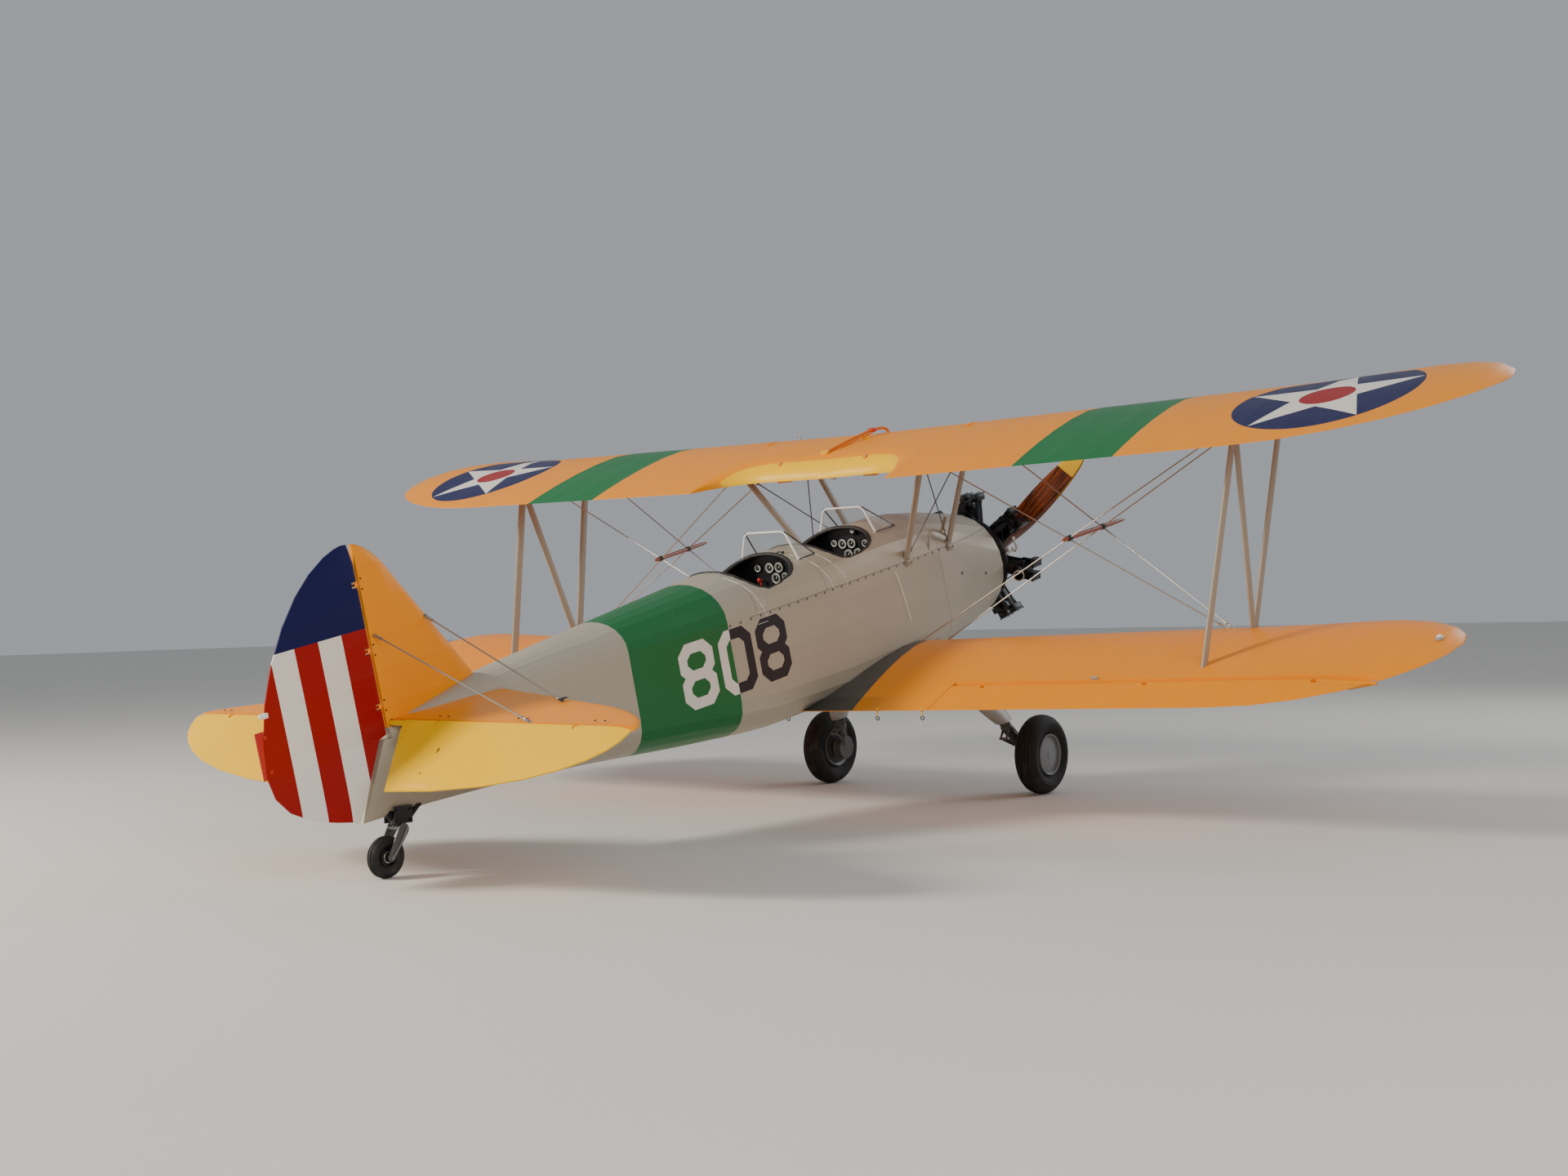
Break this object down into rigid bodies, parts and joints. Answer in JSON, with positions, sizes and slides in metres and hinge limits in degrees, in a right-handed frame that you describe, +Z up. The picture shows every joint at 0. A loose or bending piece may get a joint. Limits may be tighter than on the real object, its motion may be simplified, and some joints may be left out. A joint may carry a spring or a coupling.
{
  "type": "two-seat training biplane",
  "caption": "Open-cockpit training biplane with a radial engine and a wooden propeller, parked on its main wheels and tail wheel, with working control surfaces.",
  "frame": {"origin": "on the ground plane, under the centre of the overall box", "axes": "+X forward towards the propeller, +Y to the port wing tip, +Z up; the aircraft sits nose-up on its tail wheel, so its thrust line is pitched 12.35 degrees"},
  "size_m": [7.5202, 9.7934, 2.913],
  "materials": {
    "cowl_silver": "satin silver dope over sheet metal",
    "fabric_silver": "satin silver dope over fabric and stringers",
    "fabric_yellow": "semi-gloss orange-yellow dope over fabric and ribs",
    "fabric_bright_yellow": "semi-gloss yellow dope over fabric and ribs",
    "fabric_rudder": "semi-gloss dope in navy, red and white bands",
    "strut_paint": "satin beige-grey paint",
    "gear_silver": "satin silver paint",
    "fitting_steel": "satin grey paint",
    "rigging_steel": "drawn streamline steel",
    "engine_black": "satin black heat-resistant paint",
    "exhaust_black": "heat-dulled black sheet metal",
    "propeller_wood": "varnished laminated wood",
    "hub_steel": "machined steel",
    "tyre_rubber": "matt black",
    "rim_grey": "satin grey paint",
    "frame_white": "semi-gloss white paint",
    "windshield_glass": "clear",
    "panel_black": "matt black crackle paint",
    "seat_grey": "satin grey paint",
    "coaming_leather": "worn black leather",
    "controls_black": "satin black paint"
  },
  "bodies": {
    "airframe": {"fuselage_nose_cowl": "cowl_silver", "fuselage_cockpits": "fabric_silver", "fuselage_deck": "cowl_silver", "fuselage_rear": "fabric_silver", "engine": "engine_black", "exhaust_collector": "exhaust_black", "wing_upper_centre": "fabric_yellow", "controls": "controls_black", "windshield_frame_front": "frame_white", "windshield_glass_front": "windshield_glass", "instrument_panel_front": "panel_black", "seat_front": "seat_grey", "coaming_front": "coaming_leather", "windshield_frame_rear": "frame_white", "windshield_glass_rear": "windshield_glass", "instrument_panel_rear": "panel_black", "seat_rear": "seat_grey", "coaming_rear": "coaming_leather", "fin": "fabric_yellow", "tail_wheel_bracket": "fitting_steel", "wing_upper_port": "fabric_yellow", "wing_upper_starboard": "fabric_yellow", "wing_lower_port": "fabric_yellow", "wing_lower_starboard": "fabric_yellow", "stabilizer_port": "fabric_yellow", "stabilizer_starboard": "fabric_yellow", "strut_front_port": "strut_paint", "strut_front_starboard": "strut_paint", "strut_rear_port": "strut_paint", "strut_rear_starboard": "strut_paint", "strut_diagonal_port": "strut_paint", "strut_diagonal_starboard": "strut_paint", "cabane_front_port": "strut_paint", "cabane_front_starboard": "strut_paint", "cabane_rear_port": "strut_paint", "cabane_rear_starboard": "strut_paint", "rigging_port": "rigging_steel", "rigging_starboard": "rigging_steel", "gear_leg_port": "gear_silver", "gear_leg_starboard": "gear_silver", "gear_axle_port": "fitting_steel", "gear_axle_starboard": "fitting_steel"},
    "propeller": {"propeller": "propeller_wood", "propeller_hub": "hub_steel"},
    "main_wheel_port": {"main_tyre_port": "tyre_rubber", "main_rim_port": "rim_grey"},
    "main_wheel_starboard": {"main_tyre_starboard": "tyre_rubber", "main_rim_starboard": "rim_grey"},
    "tail_fork": {"tail_wheel_fork": "fitting_steel"},
    "tail_wheel": {"tail_wheel_tyre": "tyre_rubber", "tail_wheel_rim": "rim_grey"},
    "rudder": {"rudder": "fabric_rudder"},
    "elevators": {"elevators": "fabric_bright_yellow"},
    "aileron_port": {"aileron_port": "fabric_yellow"},
    "aileron_starboard": {"aileron_starboard": "fabric_yellow"}
  },
  "joints": [
    {"name": "propeller_spin", "type": "hinge", "parent": "airframe", "child": "propeller", "pos_m": [3.65625, 0, 1.93569], "axis": [0.9769, 0, 0.2139], "continuous": true},
    {"name": "main_wheel_port_spin", "type": "hinge", "parent": "airframe", "child": "main_wheel_port", "pos_m": [2.55766, 1.021, 0.30494], "axis": [0, 1, 0], "continuous": true},
    {"name": "main_wheel_starboard_spin", "type": "hinge", "parent": "airframe", "child": "main_wheel_starboard", "pos_m": [2.55766, -1.021, 0.30494], "axis": [0, 1, 0], "continuous": true},
    {"name": "tail_wheel_swivel", "type": "hinge", "parent": "airframe", "child": "tail_fork", "pos_m": [-2.88464, 0, 0.11994], "axis": [0, 0, 1], "continuous": true},
    {"name": "tail_wheel_spin", "type": "hinge", "parent": "tail_fork", "child": "tail_wheel", "pos_m": [-2.96664, 0, 0.11994], "axis": [0, 1, 0], "continuous": true},
    {"name": "rudder_hinge", "type": "hinge", "parent": "airframe", "child": "rudder", "pos_m": [-3.05366, 0, 1.16246], "axis": [-0.2139, 0, 0.9769], "range_deg": [-30, 30]},
    {"name": "elevator_hinge", "type": "hinge", "parent": "airframe", "child": "elevators", "pos_m": [-2.92385, 0, 0.87354], "axis": [0, 1, 0], "range_deg": [0, 57]},
    {"name": "aileron_port_hinge", "type": "hinge", "parent": "airframe", "child": "aileron_port", "pos_m": [0.74803, 2.87327, 0.91056], "axis": [-0.0055, 0.9997, 0.0249], "range_deg": [-25, 25]},
    {"name": "aileron_starboard_hinge", "type": "hinge", "parent": "airframe", "child": "aileron_starboard", "pos_m": [0.74803, -2.87327, 0.91056], "axis": [0.0055, 0.9997, -0.0249], "range_deg": [-25, 25]}
  ],
  "couplings": [
    {"joint": "aileron_starboard_hinge", "follows": "aileron_port_hinge", "ratio": -1}
  ]
}
